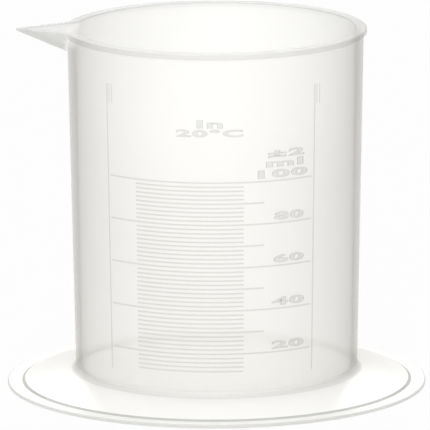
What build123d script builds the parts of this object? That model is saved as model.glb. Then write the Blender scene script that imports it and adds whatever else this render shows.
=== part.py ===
from build123d import *
import os
from math import hypot, pi

# A squat 100 ml measuring cylinder, injection moulded in one piece from natural polypropylene.
# Lengths are in millimetres, volumes in millilitres and angles in degrees.
# The foot stands on z = 0, the tube's axis is Z, the beak points along -X and the scale faces -Y.

# Overall sizes
total_height = 72.0
foot_diameter = 83.5
tube_base_diameter = 56.2
tube_rim_diameter = 58.9

# Walls
base_wall = 1.25
rim_wall = 1.7
floor_thickness = 1.3
foot_plate = 1.2

# Foot: a flat band round the edge, a small step, then a shallow cone up to the tube
foot_edge_height = 0.7
foot_band_width = 2.9
foot_step_width = 0.5
foot_step_height = 0.3
foot_height = 3.2
floor_height = 3.0

# Lip round the rim
lip_overhang = 0.6
lip_height = 1.0
lip_slope = 0.5

# Beak: a V-shaped trough whose keel rises to a blunt tip level with the rim
beak_length = 10.05
beak_width = 14.2
beak_depth = 5.2
beak_wall = 1.15
beak_tip_width = 1.0
beak_tip_height = 0.65
beak_keel_radius = 1.6

# Softened edges
foot_edge_chamfer = 0.25
foot_fillet = 1.0
floor_chamfer = 0.7
rim_chamfer = 0.2
beak_fillet = 0.8

# Gate mark of the moulding, in the middle of the underside
gate_diameter = 5.0
gate_depth = 0.4

# Scale: ridges moulded on the outside, at the heights where the bore holds each volume
capacity = 100
lowest_mark = 12
mark_step = 2
medium_step = 10
long_step = 20
scale_left = -45.3
scale_right = 40.0
short_left = -32.7
short_right = 10.7
medium_right = 18.9
mark_width = 0.4
mark_relief = 0.2

# Two upright ridges frame the scale
frame_gap = 1.5
frame_below_rim = 7.4
frame_bottom = 7.2
frame_width = 0.3
frame_relief = 0.15

# How far a ridge reaches into the wall that carries it
ridge_root = 0.4
CUBIC_MM_PER_ML = 1000.0

foot_radius = foot_diameter / 2
base_radius = tube_base_diameter / 2
top_radius = tube_rim_diameter / 2
bore_base = base_radius - base_wall
bore_top = top_radius - rim_wall
bore_draft = (bore_top - bore_base) / (total_height - floor_height)
middle_radius = (bore_top + top_radius) / 2


def wall_radius(z):
    """Outer radius of the tube at a height."""
    share = (z - foot_height) / (total_height - foot_height)
    return base_radius + (top_radius - base_radius) * share


def mark_height(volume):
    """Height at which the tapered bore holds a volume."""
    cube = bore_base**3 + 3 * bore_draft * volume * CUBIC_MM_PER_ML / pi
    return floor_height + (cube ** (1 / 3) - bore_base) / bore_draft


def corner(sketch, r, z):
    """The corner of an upright section at radius r and height z."""
    return sketch.vertices().sort_by_distance((r, z))[0]


def softened(points, fillets, chamfers):
    """An upright section through the given points, with some of its corners rounded or bevelled."""
    section = Polygon(*points, align=None)
    for point, radius in fillets:
        section = fillet(corner(section, *point), radius)
    for point, length in chamfers:
        section = chamfer(corner(section, *point), length)
    return Plane.XZ * section


def body_section():
    """Section of foot, floor and tube from the axis outwards."""
    step_outside = foot_radius - foot_band_width
    step_inside = step_outside - foot_step_width
    step_top = foot_edge_height + foot_step_height
    slope = (foot_height - step_top) / (step_inside - base_radius)
    plate_drop = foot_plate * hypot(1, slope)
    floor_under = floor_height - floor_thickness
    # The underside runs parallel to the foot's top, from the standing ring up to the floor's underside.
    stand_radius = step_inside - (plate_drop - step_top) / slope
    under_radius = stand_radius - floor_under / slope
    gate_radius = gate_diameter / 2

    foot_edge = (foot_radius, foot_edge_height)
    step_foot = (step_outside, foot_edge_height)
    step_head = (step_inside, step_top)
    tube_foot = (base_radius, foot_height)
    mouth = (bore_top, total_height)
    floor_corner = (bore_base, floor_height)
    points = [
        (0, floor_under + gate_depth),
        (gate_radius, floor_under + gate_depth),
        (gate_radius, floor_under),
        (under_radius, floor_under),
        (stand_radius, 0),
        (foot_radius, 0),
        foot_edge,
        step_foot,
        step_head,
        tube_foot,
        (top_radius, total_height),
        mouth,
        floor_corner,
        (0, floor_height),
    ]
    chamfers = [
        (foot_edge, foot_edge_chamfer),
        (mouth, rim_chamfer),
        (floor_corner, floor_chamfer),
    ]
    return softened(points, [(tube_foot, foot_fillet)], chamfers)


def lip_section():
    """Section of the lip, from the middle of the rim's wall outwards."""
    lip_bottom = total_height - lip_height
    lip_foot = lip_bottom - lip_slope
    lower = (top_radius + lip_overhang, lip_bottom)
    upper = (top_radius + lip_overhang, total_height)
    points = [
        (middle_radius, lip_foot),
        (wall_radius(lip_foot), lip_foot),
        lower,
        upper,
        (middle_radius, total_height),
    ]
    return softened(points, [], [(upper, rim_chamfer)])


def beak_plane(distance):
    """Upright plane across the beak, at a distance from the axis, whose y runs down from the rim."""
    return Plane(origin=(-distance, 0, total_height), x_dir=(0, 1, 0), z_dir=(-1, 0, 0))


def beak_section(distance, half_width, depth, keel_radius, raised=0.0):
    """V section of the beak; raised carries its sides on above the rim, in line."""
    spread = half_width * (1 + raised)
    outline = Polygon((-spread, -depth * raised), (spread, -depth * raised), (0, depth), align=None)
    keel = outline.vertices().sort_by(Axis.Y)[-1]
    return beak_plane(distance) * fillet(keel, keel_radius)


def beak_parts():
    """The beak's solid wedge and the channel that is cut from it and from the wall."""
    tip_distance = top_radius + beak_length
    half_tip = beak_tip_width / 2
    width_slope = (beak_width / 2 - half_tip) / beak_length
    depth_slope = (beak_depth - beak_tip_height) / beak_length

    root_distance = bore_top - beak_length / 2
    run = tip_distance - root_distance
    root_half = half_tip + width_slope * run
    root_depth = beak_tip_height + depth_slope * run
    tip_keel_radius = beak_keel_radius * half_tip / root_half
    wedge = loft(
        [
            beak_section(root_distance, root_half, root_depth, beak_keel_radius),
            beak_section(tip_distance, half_tip, beak_tip_height, tip_keel_radius),
        ],
        ruled=True,
    )
    # The wedge starts inside the thickness of the tube's wall.
    wedge -= Pos(0, 0, total_height) * Cylinder(middle_radius - rim_wall / 4, 3 * root_depth)

    side_wall = beak_wall * hypot(1, width_slope)
    channel_end = tip_distance - (side_wall - half_tip) / width_slope
    channel_run = channel_end - root_distance
    channel = loft(
        [
            Vertex(-channel_end, 0, total_height),
            beak_section(
                root_distance,
                width_slope * channel_run,
                depth_slope * channel_run,
                beak_keel_radius - beak_wall / 2,
                raised=0.3,
            ),
        ],
        ruled=True,
    )
    return wedge, channel


def runs_on_wall(edge):
    """True for an edge that lies on the tube's outside, below the rim and above the foot."""
    points = [edge @ share for share in (0.1, 0.5, 0.9)]
    return all(
        foot_height + foot_fillet < point.Z < total_height - lip_slope / 10
        and abs(hypot(point.X, point.Y) - wall_radius(point.Z)) < rim_wall / 100
        for point in points
    )


def ridge(section, left, right):
    """Sweeps an upright section round the tube between two angles, measured from the front."""
    return Rot(Z=left - 90) * revolve(section, Axis.Z, right - left)


def scale_mark(volume):
    """One line of the scale, as a low ridge whose sloping sides run on into the wall."""
    z = mark_height(volume)
    r = wall_radius(z)
    half_root = mark_width / 2 * (1 + ridge_root / mark_relief)
    section = Plane.XZ * Polygon(
        (r - ridge_root, z - half_root),
        (r + mark_relief, z),
        (r - ridge_root, z + half_root),
        align=None,
    )
    if volume % long_step == 0:
        return ridge(section, scale_left, scale_right)
    if volume % medium_step == 0:
        return ridge(section, short_left, medium_right)
    return ridge(section, short_left, short_right)


def frame_ridge(angle):
    """One upright ridge beside the scale, following the wall's draft."""
    top = total_height - frame_below_rim
    section = Plane.XZ * Polygon(
        (wall_radius(frame_bottom) - ridge_root, frame_bottom),
        (wall_radius(frame_bottom) + frame_relief, frame_bottom),
        (wall_radius(top) + frame_relief, top),
        (wall_radius(top) - ridge_root, top),
        align=None,
    )
    half_angle = 90 * frame_width / (pi * base_radius)
    return ridge(section, angle - half_angle, angle + half_angle)


def graduated_cylinder():
    """The whole moulding."""
    wedge, channel = beak_parts()
    body = revolve(body_section(), Axis.Z) + wedge
    beak_root = [edge for edge in body.edges() if runs_on_wall(edge) and edge.length < beak_width]
    body = fillet(beak_root, beak_fillet) + revolve(lip_section(), Axis.Z) - channel
    marks = [scale_mark(volume) for volume in range(lowest_mark, capacity + 1, mark_step)]
    frame = [frame_ridge(scale_left - frame_gap), frame_ridge(scale_right + frame_gap)]
    return body + marks + frame


os.makedirs("parts", exist_ok=True)
export_step(graduated_cylinder(), "parts/graduated_cylinder.step")
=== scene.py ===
import math

import bmesh
import bpy
import numpy as np
from mathutils import Matrix, Vector


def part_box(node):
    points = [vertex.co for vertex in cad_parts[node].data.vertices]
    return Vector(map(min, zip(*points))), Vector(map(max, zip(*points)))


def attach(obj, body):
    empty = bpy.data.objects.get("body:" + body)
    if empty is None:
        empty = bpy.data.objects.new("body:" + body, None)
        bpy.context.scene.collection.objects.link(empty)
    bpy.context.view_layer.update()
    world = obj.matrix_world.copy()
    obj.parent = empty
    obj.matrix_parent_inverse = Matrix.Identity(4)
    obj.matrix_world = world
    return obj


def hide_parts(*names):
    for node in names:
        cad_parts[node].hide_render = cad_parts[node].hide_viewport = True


# A squat 100 ml measuring cylinder, injection moulded in one piece from natural polypropylene.
# Sizes are millimetres until a mesh is made, volumes are millilitres, and angles are degrees.
# The tube's axis is Z, the beak points along -X and the scale faces -Y.
# Angles round the tube are counted from the scale's middle, positive towards +X.

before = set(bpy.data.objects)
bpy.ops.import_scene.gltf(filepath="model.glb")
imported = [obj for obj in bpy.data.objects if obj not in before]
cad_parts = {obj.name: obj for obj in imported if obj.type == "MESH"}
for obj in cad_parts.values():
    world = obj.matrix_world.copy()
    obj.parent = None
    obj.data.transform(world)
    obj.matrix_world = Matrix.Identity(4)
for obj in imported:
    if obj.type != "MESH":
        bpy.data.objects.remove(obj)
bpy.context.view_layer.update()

MM = 0.001
CUBIC_MM_PER_ML = 1000.0

# The visual model keeps this far inside the solid's box
box_margin = 0.0001
foot_low, tube_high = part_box("graduated_cylinder")
total_height = tube_high.z / MM - box_margin
foot_radius = min(-foot_low.x, -foot_low.y, tube_high.x, tube_high.y) / MM - box_margin

# Tube
base_radius = 28.1
top_radius = 29.45
base_wall = 1.25
rim_wall = 1.7
foot_height = 3.2
floor_height = 3.0
floor_thickness = 1.3

# Foot
foot_plate = 1.2
foot_edge_height = 0.7
foot_band_width = 2.9
foot_step_width = 0.5
foot_step_height = 0.3

# Lip round the rim
lip_overhang = 0.6
lip_height = 1.0
lip_slope = 0.5

# Beak
beak_length = 10.05
beak_width = 14.2
beak_depth = 5.2
beak_wall = 1.15
beak_tip_width = 1.0
beak_tip_height = 0.65
beak_keel_radius = 1.6
beak_blend = 0.6
channel_blend = 0.4
beak_zone = 6.5
beak_turn = 60

# Roundings
foot_edge_rounding = 0.25
step_rounding = 0.12
foot_rounding = 1.0
floor_rounding = 1.2
rim_rounding = 0.3
gate_radius = 2.5
gate_depth = 0.4
gate_rounding = 0.15

# Fineness of the meshes, with angles round the tube counted from the beak
corner_segments = 6
corner_guard = 0.12
finest_turn = 0.12
fine_turn = 0.26
coarse_turn = 2.5
fine_span = 2.0
widening_from = 1.0
widening_span = 30.0
rim_rings = 28
rim_turns = 7
longest_run = 4.0
weld_distance = 1e-6
sharp_angle = 25
search_steps = 40
tiny = 1e-9

# Painted shade: how far each part of the skin is greyed, from 0 for the smooth wall to 1, in place of the
# darkness where its edges turn light aside
rim_painted_shade = 0.5
beak_painted_shade = 0.7
step_painted_shade = 1.0
foot_painted_shade = 0.4
root_painted_shade = 0.15

# Where those parts are: below the rim's top, outside the tube's top, beside the step and above the bench
rim_zone = 0.27
lip_zone = 0.3
beak_outside = 0.72
step_margin = 0.05
root_top = 4.3
upright_normal = 0.2

# Scale
capacity = 100
lowest_mark = 12
mark_step = 2
medium_step = 10
long_step = 20
scale_left = -45.3
scale_right = 40.0
short_left = -32.7
short_right = 10.7
medium_right = 18.9
ridge_width = 0.4
ridge_crest = 0.06
ridge_relief = 0.2
ridge_root = 0.06
ridge_points = 48
frame_width = 0.3
frame_crest = 0.06
frame_relief = 0.15
tick_relief = 0.08
tick_length = 3.9
frame_gap = 1.5
frame_bottom = 7.2
frame_below_rim = 7.4
outer_tick_left = -45.7
outer_tick_right = 42.6
inner_tick_left = -44.2
inner_tick_right = 44.1

# Lettering: each numeral stands on its line, between two angles, and each word between two heights
letter_relief = 0.18
letter_root = 0.06
numeral_rise = 0.6
numeral_height = 1.65
letter_spacing = 1.12
letter_bevel = 0.03
letter_flank = 0.85
numerals = {
    100: (16.4, 38.0),
    80: (23.2, 36.4),
    60: (23.0, 36.6),
    40: (22.4, 37.0),
    20: (22.5, 37.0),
}
words = {
    "unit": ("ml", 19.7, 36.0, 49.0, 50.55),
    "tolerance": ("±2", 20.5, 36.4, 50.95, 52.45),
    "measured": ("In", -7.4, 2.7, 57.2, 58.85),
    "temperature": ("20°C", -15.5, 10.5, 55.4, 56.95),
}

# Plastic: each skin covers a share of what is behind it, more on the foot and floor than on the wall
milk = "#FBFBF9"
# painted shade: the grey painted on edges in place of the darkness their refraction gives
painted_shade_grey = "#A4A6A3"
# painted shade: the ridges' greyer copy of the plastic, for the darkness of their slopes
ridge_painted_shade_grey = "#CCCDC9"
# painted shade: the letters' greyer copy of the plastic, for the darkness of their raised edges
letter_painted_shade_grey = "#D0D2CE"
haze = "#F0EFEE"
haze_density = 300.0
wall_cover = 0.35
thick_cover = 0.8
# painted shade: how much the painted grey hides what is behind it
painted_shade_cover = 0.45
raised_cover = 0.2
glowing_share = 0.5
plastic_roughness = 0.3
plastic_ior = 1.49
ripple_scale = 70.0
ripple_strength = 0.08
ripple_depth = 0.0004

# Stage: a white table in a room that is bright in front, behind and above, and dim at both sides
table_side = 6.0
table_drop = 0.00005
table_grey = "#B4B4B4"
table_glow = 0.5
table_seen = 0.96
room_light = 1.0
side_light = 0.25
sides_from = 0.3
sides_to = 0.95

# Lamps: where each stands in metres, the side of its square and its watts
softboxes = {
    "front_softbox": ((-0.1, -1.4, 0.75), 0.8, 11.5),
    "back_softbox": ((0, 1.4, 0.9), 0.8, 11.5),
    "left_softbox": ((-1.4, -0.5, 0.7), 0.8, 2),
    "top_softbox": ((0, -0.3, 1.5), 0.9, 7.5),
}

# The camera stands far off, a little above the rim, with a very long lens
camera_distance = 1.642
camera_elevation = 11.73
camera_roll = 0.2
aim_height = 0.0339
aim_right = 0.00023
image_side = 430
focal_pixels = 8244

bore_base = base_radius - base_wall
bore_top = top_radius - rim_wall
wall_draft = (top_radius - base_radius) / (total_height - foot_height)
bore_draft = (bore_top - bore_base) / (total_height - floor_height)


def wall_radius(z):
    """Outer radius of the tube, which widens towards the rim."""
    return base_radius + wall_draft * (z - foot_height)


def bore_radius(z):
    """Radius of the bore."""
    return bore_base + bore_draft * (z - floor_height)


def mark_height(volume):
    """Height at which the tapered bore holds a volume."""
    cube = bore_base**3 + 3 * bore_draft * volume * CUBIC_MM_PER_ML / math.pi
    return floor_height + (cube ** (1 / 3) - bore_base) / bore_draft


def on_wall(angle, z, relief=0.0):
    """A point on the tube's outside, in millimetres."""
    turn = math.radians(angle)
    r = wall_radius(z) + relief
    return Vector((r * math.sin(turn), -r * math.cos(turn), z))


# Meshes


def smooth_step(value):
    """Eases from 0 to 1."""
    share = np.clip(value, 0, 1)
    return share * share * (3 - 2 * share)


def smooth_max(a, b, blend):
    """The larger of two values, rounded off where they are within a blend of each other."""
    share = np.clip(0.5 + 0.5 * (a - b) / blend, 0, 1)
    return b + (a - b) * share + blend * share * (1 - share)


def rounded(corners):
    """A profile with its corners rounded. Each corner is (radius, height, rounding)."""
    points = [np.array(corners[0][:2], float)]
    for before, corner, after in zip(corners, corners[1:], corners[2:]):
        here = np.array(corner[:2], float)
        back = np.array(before[:2], float) - here
        on = np.array(after[:2], float) - here
        rounding = corner[2]
        if rounding == 0:
            points.append(here)
            continue
        back /= np.linalg.norm(back)
        on /= np.linalg.norm(on)
        half = math.acos(np.clip(back @ on, -1, 1)) / 2
        reach = rounding / math.tan(half)
        bisector = (back + on) / np.linalg.norm(back + on)
        centre = here + bisector * rounding / math.sin(half)
        start = here + back * reach - centre
        end = here + on * reach - centre
        sweep = math.pi - 2 * half
        points.append(here + back * (reach + corner_guard * rounding))
        for share in np.linspace(0, 1, corner_segments + 1):
            blend = start * math.sin((1 - share) * sweep) + end * math.sin(share * sweep)
            points.append(centre + blend / math.sin(sweep))
        points.append(here + on * (reach + corner_guard * rounding))
    points.append(np.array(corners[-1][:2], float))
    return points


def azimuths():
    """Angles from the beak's direction, close together at the beak and wide apart behind it."""
    half = [0.0]
    while half[-1] < 180:
        widening = smooth_step((half[-1] - widening_from) / widening_span)
        step = finest_turn + (fine_turn - finest_turn) * min(half[-1] / fine_span, 1)
        half.append(half[-1] + step + (coarse_turn - finest_turn) * widening)
    half = np.array(half) * 180 / half[-1]
    return np.radians(np.concatenate([half[:-1], -half[:0:-1]]))


def trough_half_width(x, depth, end, end_half, end_height, keel_radius, root_half):
    """Half width of a V trough at a distance from the axis and a depth below the rim."""
    run = np.maximum(end - x, tiny)
    half = end_half + beak_flare * run
    deep = end_height + beak_rise * run
    above_keel = deep - depth
    sine = half / np.hypot(half, deep)
    radius = keel_radius * half / root_half
    centre = radius / sine
    round_part = np.sqrt(np.maximum(radius**2 - (centre - above_keel) ** 2, 0))
    flat_part = np.maximum(above_keel, 0) * half / deep
    width = np.where(above_keel < centre - radius * sine, round_part, flat_part)
    if end_half > 0:
        nose = np.sqrt(np.maximum(end_half**2 - np.maximum(end_half - run, 0) ** 2, 0))
        width = np.minimum(width, np.where(run < end_half, nose, width))
    return np.where((end > x) & (above_keel > 0), width, 0)


tip_distance = top_radius + beak_length
half_tip = beak_tip_width / 2
beak_flare = (beak_width / 2 - half_tip) / beak_length
beak_rise = (beak_depth - beak_tip_height) / beak_length
channel_end = tip_distance - (beak_wall * math.hypot(1, beak_flare) - half_tip) / beak_flare
outer_trough = (tip_distance, half_tip, beak_tip_height, beak_keel_radius, beak_width / 2)
inner_trough = (channel_end, 0, 0, beak_keel_radius - beak_wall / 2, beak_width / 2)


def trough_reach(azimuth, depth, trough):
    """How far from the axis a V trough reaches along each azimuth, or 0 where it doesn't."""
    near = np.zeros_like(azimuth)
    far = np.full_like(azimuth, tip_distance + beak_length)
    for _ in range(search_steps):
        middle = (near + far) / 2
        width = trough_half_width(middle * np.cos(azimuth), depth, *trough)
        inside = (width > 0) & (middle * np.sin(np.abs(azimuth)) <= width)
        near = np.where(inside, middle, near)
        far = np.where(inside, far, middle)
    return np.where(np.abs(azimuth) < math.radians(beak_turn), near, 0)


def outer_ring(azimuth, z):
    """Radii of the outside at a height near the rim, with the lip and the beak."""
    lip = lip_overhang * smooth_step((z - total_height + lip_height + lip_slope) / lip_slope)
    wall = wall_radius(z) + lip
    beak = trough_reach(azimuth, total_height - z, outer_trough)
    return smooth_max(np.full_like(azimuth, wall), beak, beak_blend)


def inner_ring(azimuth, z):
    """Radii of the inside at a height near the rim, with the beak's channel."""
    bore = np.full_like(azimuth, bore_radius(z))
    channel = trough_reach(azimuth, total_height - z, inner_trough)
    return smooth_max(bore, channel, channel_blend)


def placed(azimuth, radii, z):
    """Points of a ring, from its radii and its height."""
    return np.stack(
        [-radii * np.cos(azimuth), -radii * np.sin(azimuth), np.full_like(azimuth, z)], axis=1
    )


def pushed(ring, distance):
    """A ring moved outwards along its own normals by a distance."""
    along = np.roll(ring, -1, axis=0) - np.roll(ring, 1, axis=0)
    normal = np.stack([along[:, 1], -along[:, 0], np.zeros(len(ring))], axis=1)
    normal /= np.linalg.norm(normal, axis=1, keepdims=True)
    if (normal[:, :2] * ring[:, :2]).sum() < 0:
        normal = -normal
    return ring + normal * distance


def mesh_object(name, bm, material):
    """A finished mesh at the origin, smooth, with its material."""
    bmesh.ops.recalc_face_normals(bm, faces=bm.faces)
    mesh = bpy.data.meshes.new(name)
    bm.to_mesh(mesh)
    bm.free()
    for face in mesh.polygons:
        face.use_smooth = True
    piece = bpy.data.objects.new(name, mesh)
    bpy.context.scene.collection.objects.link(piece)
    mesh.materials.append(material)
    return piece


def cleaned(mesh):
    """Merges doubles, turns the faces outwards and keeps real corners sharp."""
    bm = bmesh.new()
    bm.from_mesh(mesh)
    bmesh.ops.remove_doubles(bm, verts=bm.verts, dist=weld_distance)
    bmesh.ops.recalc_face_normals(bm, faces=bm.faces)
    bm.to_mesh(mesh)
    bm.free()
    for face in mesh.polygons:
        face.use_smooth = True
    mesh.set_sharp_from_angle(angle=math.radians(sharp_angle))


def body_rings():
    """Rings of the whole moulding, from the gate under the floor round to the floor inside."""
    azimuth = azimuths()
    step_outside = foot_radius - foot_band_width
    step_inside = step_outside - foot_step_width
    step_top = foot_edge_height + foot_step_height
    slope = (foot_height - step_top) / (step_inside - base_radius)
    floor_under = floor_height - floor_thickness
    stand_radius = step_inside - (foot_plate * math.hypot(1, slope) - step_top) / slope
    under_radius = stand_radius - floor_under / slope
    zone = total_height - beak_zone
    centre_radius = gate_radius * 0.4

    outside = rounded(
        [
            (centre_radius, floor_under + gate_depth, 0),
            (gate_radius, floor_under + gate_depth, gate_rounding),
            (gate_radius, floor_under, gate_rounding),
            (under_radius, floor_under, foot_plate),
            (stand_radius, 0, foot_edge_rounding),
            (foot_radius, 0, foot_edge_rounding),
            (foot_radius, foot_edge_height, foot_edge_rounding),
            (step_outside, foot_edge_height, step_rounding),
            (step_inside, step_top, step_rounding),
            (base_radius, foot_height, foot_rounding),
            (wall_radius(zone), zone, 0),
        ]
    )
    inside = rounded(
        [
            (bore_radius(zone), zone, 0),
            (bore_base, floor_height, floor_rounding),
            (centre_radius, floor_height, 0),
        ]
    )
    rings = [placed(azimuth, np.full_like(azimuth, r), z) for r, z in spread(outside)]

    heights = np.linspace(zone, total_height - rim_rounding, rim_rings)[1:]
    rings += [placed(azimuth, outer_ring(azimuth, z), z) for z in heights]
    edge_turns = np.linspace(0, math.pi / 2, rim_turns)[1:]
    outer_edge = rings[-1]
    for turn in edge_turns:
        ring = pushed(outer_edge, -rim_rounding * (1 - math.cos(turn)))
        ring[:, 2] = total_height - rim_rounding * (1 - math.sin(turn))
        rings.append(ring)
    inner_edge = placed(azimuth, inner_ring(azimuth, heights[-1]), heights[-1])
    for turn in edge_turns[::-1]:
        ring = pushed(inner_edge, rim_rounding * (1 - math.cos(turn)))
        ring[:, 2] = total_height - rim_rounding * (1 - math.sin(turn))
        rings.append(ring)
    rings += [placed(azimuth, inner_ring(azimuth, z), z) for z in heights[::-1]]
    rings += [placed(azimuth, np.full_like(azimuth, r), z) for r, z in spread(inside)]
    return rings


def spread(points):
    """The profile's points, with long runs divided so that faces stay even."""
    result = [points[0]]
    for start, end in zip(points, points[1:]):
        parts = max(1, math.ceil(np.linalg.norm(end - start) / longest_run))
        result += [start + (end - start) * part / parts for part in range(1, parts + 1)]
    return result


def edge_of_skin(place, normal):
    """How far a part of the skin is greyed by painted shade, from 0 to 1, where its edges would turn light
    aside.
    """
    r = math.hypot(place.x, place.y)
    step = foot_radius - foot_band_width
    if place.z > total_height - rim_zone:
        return rim_painted_shade
    if place.z > total_height / 2 and r > top_radius + lip_zone and normal.z < upright_normal:
        return beak_painted_shade if r > top_radius + beak_outside else rim_painted_shade
    if step - foot_step_width - step_margin < r < step + step_margin and place.z > foot_edge_height / 2:
        return step_painted_shade
    if r > foot_radius - foot_edge_rounding:
        return foot_painted_shade
    if bore_base < r < base_radius + foot_rounding and place.z < root_top:
        return root_painted_shade
    return 0.0


def thickness_of_skin(place):
    """How far a part of the skin belongs to the foot or the floor, which hide more than the wall does."""
    inside = math.hypot(place.x, place.y) < bore_base
    return float(place.z < (floor_height + floor_rounding / 2 if inside else root_top))


def set_shares(mesh, name, shares):
    """Keeps a value for each face, for the material to read."""
    mesh.attributes.new(name, "FLOAT", "FACE").data.foreach_set("value", shares)


def make_body(material):
    """The moulding's skin as one closed mesh."""
    rings = body_rings()
    bm = bmesh.new()
    loops = [[bm.verts.new(Vector(point) * MM) for point in ring] for ring in rings]
    count = len(loops[0])
    for low, high in zip(loops, loops[1:]):
        for i in range(count):
            j = (i + 1) % count
            bm.faces.new((low[i], low[j], high[j], high[i]))
    bm.faces.new(loops[0])
    bm.faces.new(loops[-1])
    bmesh.ops.remove_doubles(bm, verts=bm.verts, dist=weld_distance)
    body = mesh_object("moulded_body", bm, material)
    faces = body.data.polygons
    # Painted shade on the rim, the beak, the foot's step and edge and the wall's root
    set_shares(body.data, "painted_shade", [edge_of_skin(face.center / MM, face.normal) for face in faces])
    set_shares(body.data, "thick", [thickness_of_skin(face.center / MM) for face in faces])
    return body


# Nodes


def add_node(tree, kind, settings=None, inputs=None, out=None):
    """Adds a node with its settings and inputs, and gives the node, or the output that out names."""
    node = tree.nodes.new(kind)
    for name, value in (settings or {}).items():
        setattr(node, name, value)
    for name, value in (inputs or {}).items():
        socket = node.inputs[name]
        if isinstance(value, bpy.types.NodeSocket):
            tree.links.new(value, socket)
        else:
            socket.default_value = value
    return node if out is None else node.outputs[out]


def linear(hex_colour):
    """An sRGB hex colour as linear RGBA."""
    channels = [int(hex_colour[i : i + 2], 16) / 255 for i in (1, 3, 5)]
    return [c / 12.92 if c <= 0.04045 else ((c + 0.055) / 1.055) ** 2.4 for c in channels] + [1.0]


def new_material(name):
    """An empty material and its output node."""
    material = bpy.data.materials.new(name)
    material.use_nodes = True
    material.node_tree.nodes.clear()
    output = add_node(material.node_tree, "ShaderNodeOutputMaterial")
    return material, material.node_tree, output


def natural_polypropylene(name, colour, cover):
    """Moulded undyed polypropylene, which lets some light straight through and scatters the rest.

    The mesh's own attributes say where the skin is thick, and so milkier, and where painted shade greys it
    in place of the darkness of edges that turn light aside. The absorption inside makes the wall darker where
    it is seen on end.
    """
    material, tree, output = new_material(name)
    painted_shade = add_node(tree, "ShaderNodeAttribute", {"attribute_name": "painted_shade"}, None, "Fac")
    thick = add_node(tree, "ShaderNodeAttribute", {"attribute_name": "thick"}, None, "Fac")
    tone_with_painted_shade = add_node(
        tree,
        "ShaderNodeMix",
        {"data_type": "RGBA"},
        {"Factor": painted_shade, 6: linear(colour), 7: linear(painted_shade_grey)},
        2,
    )
    plain = add_node(tree, "ShaderNodeMix", None, {"Factor": thick, "A": cover, "B": thick_cover}, 0)
    share = add_node(tree, "ShaderNodeMix", None, {"Factor": painted_shade, "A": plain, "B": painted_shade_cover}, 0)
    place = add_node(tree, "ShaderNodeTexCoord", None, None, "Object")
    ripple = add_node(
        tree, "ShaderNodeTexNoise", None, {"Vector": place, "Scale": ripple_scale, "Detail": 2.0}, "Fac"
    )
    bump = add_node(
        tree,
        "ShaderNodeBump",
        None,
        {"Strength": ripple_strength, "Distance": ripple_depth, "Height": ripple},
        "Normal",
    )
    glossy = add_node(
        tree,
        "ShaderNodeBsdfPrincipled",
        None,
        {"Base Color": tone_with_painted_shade, "Roughness": plastic_roughness, "IOR": plastic_ior, "Normal": bump},
        0,
    )
    glowing = add_node(tree, "ShaderNodeBsdfTranslucent", None, {"Color": tone_with_painted_shade}, 0)
    clear = add_node(tree, "ShaderNodeBsdfTransparent", None, {"Color": (1, 1, 1, 1)}, 0)
    milky = add_node(tree, "ShaderNodeMixShader", None, {0: glowing_share, 1: glossy, 2: glowing}, 0)
    skin = add_node(tree, "ShaderNodeMixShader", None, {0: share, 1: clear, 2: milky}, 0)
    inside = add_node(
        tree, "ShaderNodeVolumeAbsorption", None, {"Color": linear(haze), "Density": haze_density}, 0
    )
    tree.links.new(skin, output.inputs["Surface"])
    tree.links.new(inside, output.inputs["Volume"])
    return material


# Ridges, grown by Geometry Nodes


def new_group(name, inputs):
    """A Geometry Nodes tree with named inputs: the tree, its input sockets and its output node."""
    tree = bpy.data.node_groups.new(name, "GeometryNodeTree")
    tree.interface.new_socket("Ridges", in_out="OUTPUT", socket_type="NodeSocketGeometry")
    for label, value in inputs.items():
        kind = "NodeSocketMaterial" if isinstance(value, bpy.types.Material) else "NodeSocketFloat"
        tree.interface.new_socket(label, in_out="INPUT", socket_type=kind)
    return tree, add_node(tree, "NodeGroupInput").outputs, add_node(tree, "NodeGroupOutput")


def copies(tree, count, apart, line_end):
    """Straight lines of many points, one at each of a row of places, and the parts of a point's place."""
    places = {"Count": count, "Offset": apart}
    row = add_node(tree, "GeometryNodeMeshLine", {"mode": "OFFSET"}, places, "Mesh")
    line = add_node(tree, "GeometryNodeCurvePrimitiveLine", None, {"End": line_end}, "Curve")
    fine = add_node(tree, "GeometryNodeResampleCurve", None, {"Curve": line, "Count": ridge_points}, "Curve")
    each = add_node(tree, "GeometryNodeInstanceOnPoints", None, {"Points": row, "Instance": fine}, 0)
    real = add_node(tree, "GeometryNodeRealizeInstances", None, {"Geometry": each}, "Geometry")
    place = add_node(tree, "GeometryNodeInputPosition", None, None, "Position")
    return real, add_node(tree, "ShaderNodeSeparateXYZ", None, {"Vector": place}).outputs


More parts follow.
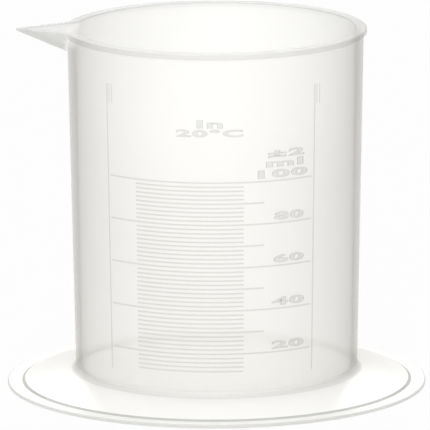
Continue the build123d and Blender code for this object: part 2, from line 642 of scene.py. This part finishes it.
def laid_on_wall(tree, given, lines, angle, height):
    """Lays lines on the tube's outside, by angle and height, and aims their normals outwards."""
    turn = add_node(tree, "ShaderNodeMath", {"operation": "RADIANS"}, {0: angle}, 0)
    sine = add_node(tree, "ShaderNodeMath", {"operation": "SINE"}, {0: turn}, 0)
    cosine = add_node(tree, "ShaderNodeMath", {"operation": "COSINE"}, {0: turn}, 0)
    foot = given["Foot Height"]
    climb = add_node(tree, "ShaderNodeMath", {"operation": "SUBTRACT"}, {0: height, 1: foot}, 0)
    wider = add_node(tree, "ShaderNodeMath", {"operation": "MULTIPLY"}, {0: climb, 1: given["Wall Draft"]}, 0)
    radius = add_node(tree, "ShaderNodeMath", {"operation": "ADD"}, {0: given["Wall Radius"], 1: wider}, 0)
    right = add_node(tree, "ShaderNodeMath", {"operation": "MULTIPLY"}, {0: radius, 1: sine}, 0)
    front = add_node(tree, "ShaderNodeMath", {"operation": "MULTIPLY"}, {0: radius, 1: cosine}, 0)
    back = add_node(tree, "ShaderNodeMath", {"operation": "MULTIPLY"}, {0: front, 1: -1.0}, 0)
    point = add_node(tree, "ShaderNodeCombineXYZ", None, {"X": right, "Y": back, "Z": height}, 0)
    laid = add_node(tree, "GeometryNodeSetPosition", None, {"Geometry": lines, "Position": point}, 0)
    place = add_node(tree, "GeometryNodeInputPosition", None, None, 0)
    level = {0: place, 1: (1, 1, 0)}
    outward = add_node(tree, "ShaderNodeVectorMath", {"operation": "MULTIPLY"}, level, 0)
    return add_node(
        tree, "GeometryNodeSetCurveNormal", {"mode": "FREE"}, {"Curve": laid, "Normal": outward}, "Curve"
    )


def ridged(tree, given, lines, end):
    """Gives the lines a ridge's section, its size in metres and its material."""
    relief, root = given["Relief"], given["Root"]
    depth = add_node(tree, "ShaderNodeMath", {"operation": "ADD"}, {0: relief, 1: root}, 0)
    proud = add_node(tree, "ShaderNodeMath", {"operation": "SUBTRACT"}, {0: relief, 1: root}, 0)
    rise = add_node(tree, "ShaderNodeMath", {"operation": "MULTIPLY"}, {0: proud, 1: 0.5}, 0)
    shift = add_node(tree, "ShaderNodeCombineXYZ", None, {"X": rise}, 0)
    section = add_node(
        tree,
        "GeometryNodeCurvePrimitiveQuadrilateral",
        {"mode": "TRAPEZOID"},
        {"Bottom Width": given["Width"], "Top Width": given["Crest"], "Height": depth, "Offset": 0.0},
        "Curve",
    )
    upright = add_node(
        tree,
        "GeometryNodeTransform",
        None,
        {"Geometry": section, "Translation": shift, "Rotation": (0, 0, -math.pi / 2)},
        "Geometry",
    )
    swept = add_node(
        tree,
        "GeometryNodeCurveToMesh",
        None,
        {"Curve": lines, "Profile Curve": upright, "Fill Caps": True},
        "Mesh",
    )
    sized = add_node(tree, "GeometryNodeTransform", None, {"Geometry": swept, "Scale": (MM, MM, MM)}, 0)
    real = add_node(tree, "GeometryNodeRealizeInstances", None, {"Geometry": sized}, 0)
    painted = {"Geometry": real, "Material": given["Material"]}
    tree.links.new(add_node(tree, "GeometryNodeSetMaterial", None, painted, 0), end.inputs["Ridges"])


def scale_tree(inputs):
    """Rings of the scale, each at the height where the tapered bore holds its volume."""
    tree, given, end = new_group("scale_rings", inputs)
    lowest, step = given["Lowest Mark"], given["Mark Step"]
    span = add_node(tree, "ShaderNodeMath", {"operation": "SUBTRACT"}, {0: given["Capacity"], 1: lowest}, 0)
    steps = add_node(tree, "ShaderNodeMath", {"operation": "DIVIDE"}, {0: span, 1: step}, 0)
    whole = add_node(tree, "ShaderNodeMath", {"operation": "ROUND"}, {0: steps}, 0)
    count = add_node(tree, "ShaderNodeMath", {"operation": "ADD"}, {0: whole, 1: 1.0}, 0)
    apart = add_node(tree, "ShaderNodeCombineXYZ", None, {"Z": step}, 0)
    lines, at = copies(tree, count, apart, (1, 0, 0))
    volume = add_node(tree, "ShaderNodeMath", {"operation": "ADD"}, {0: lowest, 1: at["Z"]}, 0)

    kinds = []
    for kind in ("Long Step", "Medium Step"):
        past = add_node(tree, "ShaderNodeMath", {"operation": "MODULO"}, {0: volume, 1: given[kind]}, 0)
        kinds.append(add_node(tree, "ShaderNodeMath", {"operation": "LESS_THAN"}, {0: past, 1: 0.5}, 0))
    is_long, is_medium = kinds
    left = {"Factor": is_long, "A": given["Short Left"], "B": given["Scale Left"]}
    middle = {"Factor": is_medium, "A": given["Short Right"], "B": given["Medium Right"]}
    middle_end = add_node(tree, "ShaderNodeMix", None, middle, 0)
    right = {"Factor": is_long, "A": middle_end, "B": given["Scale Right"]}
    left_end = add_node(tree, "ShaderNodeMix", None, left, 0)
    right_end = add_node(tree, "ShaderNodeMix", None, right, 0)
    angle = add_node(tree, "ShaderNodeMix", None, {"Factor": at["X"], "A": left_end, "B": right_end}, 0)

    bore, draft = given["Bore Radius"], given["Bore Draft"]
    per_ml = 3 * CUBIC_MM_PER_ML / math.pi
    cubic = add_node(tree, "ShaderNodeMath", {"operation": "MULTIPLY"}, {0: volume, 1: per_ml}, 0)
    grown = add_node(tree, "ShaderNodeMath", {"operation": "MULTIPLY"}, {0: cubic, 1: draft}, 0)
    empty = add_node(tree, "ShaderNodeMath", {"operation": "POWER"}, {0: bore, 1: 3.0}, 0)
    cube = add_node(tree, "ShaderNodeMath", {"operation": "ADD"}, {0: empty, 1: grown}, 0)
    radius = add_node(tree, "ShaderNodeMath", {"operation": "POWER"}, {0: cube, 1: 1 / 3}, 0)
    widened = add_node(tree, "ShaderNodeMath", {"operation": "SUBTRACT"}, {0: radius, 1: bore}, 0)
    climb = add_node(tree, "ShaderNodeMath", {"operation": "DIVIDE"}, {0: widened, 1: draft}, 0)
    height = add_node(tree, "ShaderNodeMath", {"operation": "ADD"}, {0: climb, 1: given["Floor Height"]}, 0)
    ridged(tree, given, laid_on_wall(tree, given, lines, angle, height), end)
    return tree


def upright_tree(inputs):
    """Two upright ridges at two angles."""
    tree, given, end = new_group("upright_pair", inputs)
    lines, at = copies(tree, 2, (1, 0, 0), (0, 0, 1))
    across = {"Factor": at["X"], "A": given["Left"], "B": given["Right"]}
    along = {"Factor": at["Z"], "A": given["Bottom"], "B": given["Top"]}
    angle = add_node(tree, "ShaderNodeMix", None, across, 0)
    height = add_node(tree, "ShaderNodeMix", None, along, 0)
    ridged(tree, given, laid_on_wall(tree, given, lines, angle, height), end)
    return tree


def grown_piece(name, tree, inputs):
    """A plain mesh from a Geometry Nodes tree and the values of its inputs."""
    piece = bpy.data.objects.new(name, bpy.data.meshes.new(name))
    bpy.context.scene.collection.objects.link(piece)
    modifier = piece.modifiers.new(name, "NODES")
    modifier.node_group = tree
    for socket in tree.interface.items_tree:
        if socket.in_out == "INPUT":
            modifier[socket.identifier] = inputs[socket.name]
    mesh = bpy.data.meshes.new_from_object(piece.evaluated_get(bpy.context.evaluated_depsgraph_get()))
    piece.modifiers.remove(modifier)
    piece.data = mesh
    cleaned(mesh)
    return piece


# Lettering


def raised_words(name, words, left, right, bottom, top, material):
    """Words raised on the wall between two angles and two heights."""
    outline = bpy.data.curves.new(name, "FONT")
    outline.body = words
    outline.extrude = 0.02
    outline.offset = 0.01
    outline.bevel_depth = letter_bevel
    outline.bevel_resolution = 1
    outline.resolution_u = 4
    outline.space_character = letter_spacing
    flat = bpy.data.objects.new(name, outline)
    bpy.context.scene.collection.objects.link(flat)
    mesh = bpy.data.meshes.new_from_object(flat.evaluated_get(bpy.context.evaluated_depsgraph_get()))
    bpy.data.objects.remove(flat)
    points = np.array([vertex.co for vertex in mesh.vertices])
    shares = (points - points.min(axis=0)) / np.ptp(points, axis=0)
    for vertex, (across, up, out) in zip(mesh.vertices, shares):
        angle = left + (right - left) * across
        relief = out * (letter_relief + letter_root) - letter_root
        vertex.co = on_wall(angle, bottom + (top - bottom) * up, relief) * MM
    cleaned(mesh)
    mesh.materials.clear()
    mesh.materials.append(material)
    # Painted shade: the letters' flanks get the painted grey
    shaded_flanks = []
    for face in mesh.polygons:
        outward = Vector((face.center.x, face.center.y, 0)).normalized()
        shaded_flanks.append(float(abs(face.normal.dot(outward)) < letter_flank))
    set_shares(mesh, "painted_shade", shaded_flanks)
    piece = bpy.data.objects.new(name, mesh)
    bpy.context.scene.collection.objects.link(piece)
    return piece


# Stage


def white_table():
    """White board: a white light for the eye, under a faint shadow."""
    material, tree, output = new_material("white_table")
    paint = add_node(tree, "ShaderNodeBsdfDiffuse", None, {"Color": linear(table_grey)}, 0)
    white = add_node(tree, "ShaderNodeEmission", None, {"Color": (1, 1, 1, 1), "Strength": 1.0}, 0)
    seen = add_node(tree, "ShaderNodeLightPath", None, None, "Is Camera Ray")
    glow = add_node(tree, "ShaderNodeMix", None, {"Factor": seen, "A": table_glow, "B": table_seen}, 0)
    board = add_node(tree, "ShaderNodeMixShader", None, {0: glow, 1: paint, 2: white}, 0)
    tree.links.new(board, output.inputs["Surface"])
    return material


def make_table(material):
    """The surface that the cylinder stands on."""
    half = table_side / 2
    bm = bmesh.new()
    corners = [(-half, -half), (half, -half), (half, half), (-half, half)]
    bm.faces.new([bm.verts.new((x, y, -table_drop)) for x, y in corners])
    return mesh_object("table", bm, material)


def set_world():
    """A room that is bright in front, behind and above and dim at both sides, seen as plain white."""
    world = bpy.data.worlds.new("white_room")
    world.use_nodes = True
    bpy.context.scene.world = world
    tree = world.node_tree
    tree.nodes.clear()
    output = add_node(tree, "ShaderNodeOutputWorld")
    view = add_node(tree, "ShaderNodeTexCoord", None, None, "Generated")
    sideways = add_node(tree, "ShaderNodeSeparateXYZ", None, {"Vector": view}, "X")
    aside = add_node(tree, "ShaderNodeMath", {"operation": "ABSOLUTE"}, {0: sideways}, 0)
    level = add_node(
        tree,
        "ShaderNodeMapRange",
        {"interpolation_type": "SMOOTHSTEP"},
        {
            "Value": aside,
            "From Min": sides_from,
            "From Max": sides_to,
            "To Min": room_light,
            "To Max": side_light,
        },
        "Result",
    )
    seen = add_node(tree, "ShaderNodeLightPath", None, None, "Is Camera Ray")
    strength = add_node(tree, "ShaderNodeMix", None, {"Factor": seen, "A": level, "B": 1.0}, 0)
    room = add_node(tree, "ShaderNodeBackground", None, {"Color": (1, 1, 1, 1), "Strength": strength}, 0)
    tree.links.new(room, output.inputs["Surface"])


def add_softbox(name, place, size, power):
    """A large square lamp aimed at the middle of the tube."""
    lamp = bpy.data.lights.new(name, "AREA")
    lamp.shape = "SQUARE"
    lamp.size = size
    lamp.energy = power
    box = bpy.data.objects.new(name, lamp)
    bpy.context.scene.collection.objects.link(box)
    box.location = place
    aim = Vector((0, 0, total_height * MM / 2)) - Vector(place)
    box.rotation_euler = aim.to_track_quat("-Z", "Y").to_euler()


def set_camera():
    """The photograph's view."""
    data = bpy.data.cameras.new("camera")
    data.sensor_fit = "HORIZONTAL"
    data.angle = 2 * math.atan(image_side / 2 / focal_pixels)
    data.clip_end = 20
    camera = bpy.data.objects.new("camera", data)
    bpy.context.scene.collection.objects.link(camera)
    rise = math.radians(camera_elevation)
    aim = Vector((-aim_right, 0, aim_height))
    away = Vector((0, -math.cos(rise), math.sin(rise)))
    turn = (-away).to_track_quat("-Z", "Y").to_matrix().to_4x4()
    roll = Matrix.Rotation(math.radians(-camera_roll), 4, "Z")
    camera.matrix_world = Matrix.Translation(aim + away * camera_distance) @ turn @ roll
    bpy.context.scene.camera = camera


bpy.context.scene.view_settings.view_transform = "Standard"
set_camera()
set_world()
for name, (place, size, power) in softboxes.items():
    add_softbox(name, place, size, power)

plastic = natural_polypropylene("natural_polypropylene", milk, wall_cover)
# Greyer copies of the plastic for the ridges and the letters: painted shade
ridge_painted_shade_plastic = natural_polypropylene("natural_polypropylene_ridge_painted_shade", ridge_painted_shade_grey, raised_cover)
letter_painted_shade_plastic = natural_polypropylene("natural_polypropylene_letter_painted_shade", letter_painted_shade_grey, raised_cover)
body = make_body(plastic)
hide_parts("graduated_cylinder")

wall = {
    "Wall Radius": base_radius,
    "Wall Draft": wall_draft,
    "Foot Height": foot_height,
    "Root": ridge_root,
    "Material": ridge_painted_shade_plastic,
}
rings = wall | {
    "Capacity": float(capacity),
    "Lowest Mark": float(lowest_mark),
    "Mark Step": float(mark_step),
    "Medium Step": float(medium_step),
    "Long Step": float(long_step),
    "Scale Left": scale_left,
    "Scale Right": scale_right,
    "Short Left": short_left,
    "Short Right": short_right,
    "Medium Right": medium_right,
    "Bore Radius": bore_base,
    "Bore Draft": bore_draft,
    "Floor Height": floor_height,
    "Width": ridge_width,
    "Crest": ridge_crest,
    "Relief": ridge_relief,
}
sides = wall | {
    "Left": scale_left - frame_gap,
    "Right": scale_right + frame_gap,
    "Bottom": frame_bottom,
    "Top": total_height - frame_below_rim,
    "Width": frame_width,
    "Crest": frame_crest,
    "Relief": frame_relief,
}
outer_ticks = sides | {
    "Left": outer_tick_left,
    "Right": outer_tick_right,
    "Bottom": sides["Top"] - tick_length,
    "Relief": tick_relief,
}
inner_ticks = outer_ticks | {"Left": inner_tick_left, "Right": inner_tick_right}
pair_tree = upright_tree(sides)
pieces = [
    body,
    grown_piece("scale_rings", scale_tree(rings), rings),
    grown_piece("scale_frame", pair_tree, sides),
    grown_piece("outer_ticks", pair_tree, outer_ticks),
    grown_piece("inner_ticks", pair_tree, inner_ticks),
]
for volume, (left, right) in numerals.items():
    foot = mark_height(volume) + numeral_rise
    words[f"numeral_{volume}"] = (str(volume), left, right, foot, foot + numeral_height)
pieces += [raised_words(name, *word, letter_painted_shade_plastic) for name, word in words.items()]
for piece in pieces:
    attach(piece, "root")

table = make_table(white_table())
